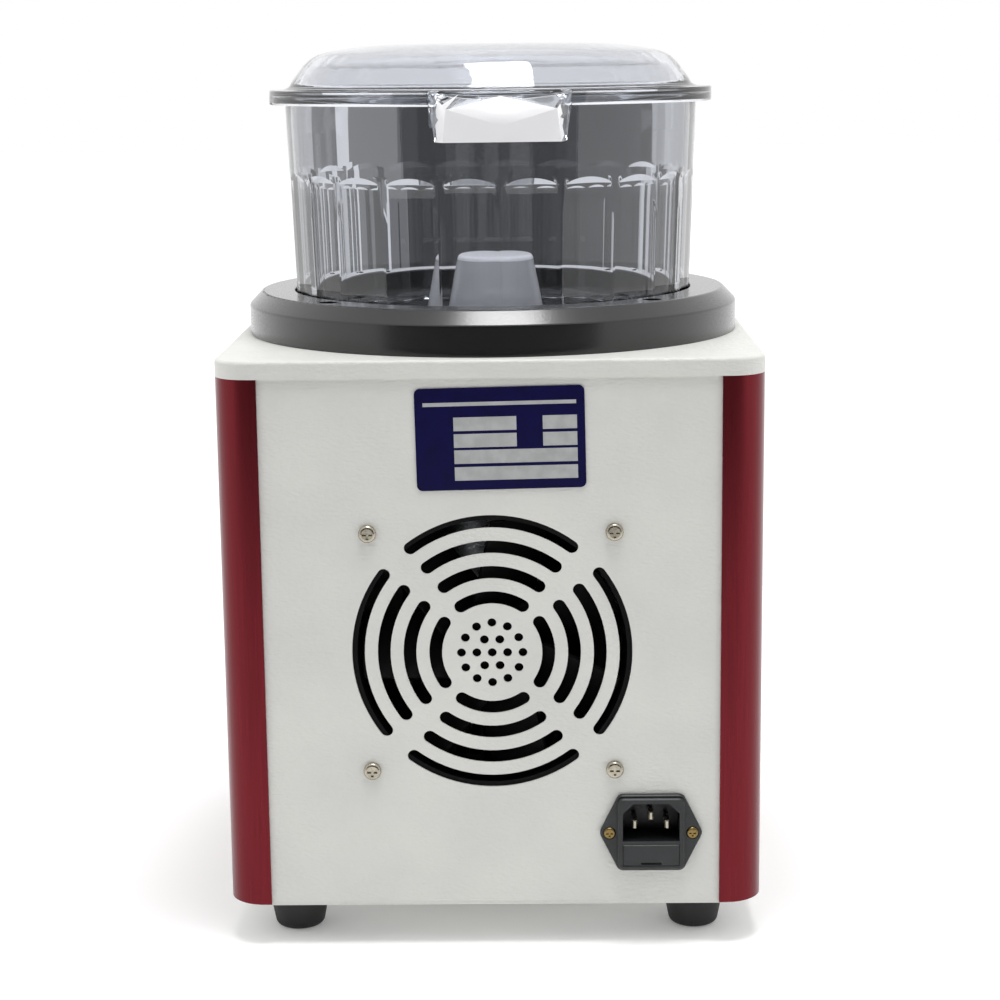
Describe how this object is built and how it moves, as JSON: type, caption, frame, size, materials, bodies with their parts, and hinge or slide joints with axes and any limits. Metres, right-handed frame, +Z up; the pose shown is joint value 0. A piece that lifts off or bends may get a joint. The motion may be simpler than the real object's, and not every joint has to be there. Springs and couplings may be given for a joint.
{
  "type": "magnetic tumbler",
  "caption": "Bench-top magnetic tumbler: white and dark red metal case with rear fan vent and mains inlet, black ring, clear fluted bowl and domed lift-off lid with pull tabs.",
  "frame": {"origin": "on the floor plane under the feet, below the common axis of the bowl and the motor", "axes": "+Z up, -Y towards the user (front controls), +Y to the rear panel with fan vent and mains inlet, +X to the user's right"},
  "size_m": [0.2338, 0.2576, 0.3895],
  "materials": {
    "rubber": "moulded black rubber",
    "steel_screw": "nickel-plated steel",
    "white_paint": "white powder coat on steel sheet, fine orange-peel",
    "red_anodised": "dark red satin anodised aluminium",
    "black_abs": "black ABS with a fine pebble texture",
    "clear_plastic": "clear moulded plastic",
    "plate_blue": "dark blue printed aluminium with silver fields",
    "inlet_black": "black moulded thermoplastic",
    "brass": "yellow plated steel and brass",
    "fuse_glass": "glass tube with metal caps",
    "copper": "enamelled copper wire",
    "zinc_steel": "zinc-plated steel",
    "cast_alloy": "cast and turned aluminium",
    "core_steel": "stacked electrical steel",
    "magnet_nickel": "nickel-plated neodymium magnets",
    "board_green": "circuit board",
    "grey_plastic": "grey moulded plastic",
    "overlay_grey": "printed polycarbonate label",
    "rocker_red": "gloss red plastic",
    "rocker_black": "gloss black plastic",
    "lamp_green": "translucent green lens"
  },
  "bodies": {
    "root": {"foot_rear_left": "rubber", "foot_rear_right": "rubber", "foot_front_left": "rubber", "foot_front_right": "rubber", "foot_screws": "steel_screw", "base_screws": "steel_screw", "top_screws": "steel_screw", "ring_screws": "steel_screw", "fan_screws": "steel_screw", "fan_nuts": "steel_screw", "motor_screws": "steel_screw", "bracket_standoffs": "steel_screw", "control_nuts": "steel_screw", "base_plate": "white_paint", "rear_panel": "white_paint", "front_panel": "white_paint", "top_plate": "white_paint", "side_shell_left": "red_anodised", "side_shell_right": "red_anodised", "bowl_ring": "black_abs", "fan_frame": "black_abs", "power_switch_body": "black_abs", "direction_switch_body": "black_abs", "nameplate": "plate_blue", "inlet_body": "inlet_black", "inlet_pins": "brass", "inlet_screws": "brass", "fan_coil": "copper", "motor_windings": "copper", "motor_bracket": "zinc_steel", "motor_can": "zinc_steel", "motor_bearings": "zinc_steel", "motor_top_cap": "cast_alloy", "motor_bottom_cap": "cast_alloy", "motor_stator": "core_steel", "control_board": "board_green", "board_standoffs": "grey_plastic", "board_components": "grey_plastic", "run_capacitor": "grey_plastic", "timer_body": "grey_plastic", "speed_control": "grey_plastic", "front_overlay": "overlay_grey", "indicator_lamp": "lamp_green"},
    "magnet_rotor": {"motor_shaft": "zinc_steel", "motor_rotor": "core_steel", "disc_hub": "zinc_steel", "magnet_disc": "cast_alloy", "magnets": "magnet_nickel", "disc_screws": "steel_screw"},
    "fan_rotor": {"fan_impeller": "black_abs"},
    "bowl": {"bowl": "clear_plastic"},
    "lid": {"lid": "clear_plastic"},
    "fuse_drawer": {"fuse_drawer": "inlet_black", "fuse": "fuse_glass"},
    "power_rocker": {"power_rocker": "rocker_red"},
    "direction_rocker": {"direction_rocker": "rocker_black"},
    "timer_knob": {"timer_knob": "black_abs", "timer_spindle": "steel_screw"},
    "speed_knob": {"speed_knob": "black_abs", "speed_spindle": "steel_screw"}
  },
  "joints": [
    {"name": "magnet_spin", "type": "hinge", "parent": "root", "child": "magnet_rotor", "pos_m": [0, 0, 0.246], "axis": [0, 0, 1], "continuous": true},
    {"name": "fan_spin", "type": "hinge", "parent": "root", "child": "fan_rotor", "pos_m": [0, 0.1047, 0.1324], "axis": [0, 1, 0], "continuous": true},
    {"name": "bowl_lift", "type": "slide", "parent": "root", "child": "bowl", "axis": [0, 0, 1], "range_m": [0, 0.12]},
    {"name": "lid_lift", "type": "slide", "parent": "bowl", "child": "lid", "axis": [0, 0, 1], "range_m": [0, 0.08]},
    {"name": "fuse_drawer_slide", "type": "slide", "parent": "root", "child": "fuse_drawer", "axis": [0, 1, 0], "range_m": [0, 0.02]},
    {"name": "power_rocker_tilt", "type": "hinge", "parent": "root", "child": "power_rocker", "pos_m": [-0.038, -0.1173, 0.128], "axis": [1, 0, 0], "range_deg": [0, 16]},
    {"name": "direction_rocker_tilt", "type": "hinge", "parent": "root", "child": "direction_rocker", "pos_m": [0.038, -0.1173, 0.128], "axis": [1, 0, 0], "range_deg": [0, 16]},
    {"name": "timer_turn", "type": "hinge", "parent": "root", "child": "timer_knob", "pos_m": [-0.038, -0.1188, 0.178], "axis": [0, 1, 0], "range_deg": [0, 300]},
    {"name": "speed_turn", "type": "hinge", "parent": "root", "child": "speed_knob", "pos_m": [0.038, -0.1188, 0.178], "axis": [0, 1, 0], "range_deg": [0, 270]}
  ]
}
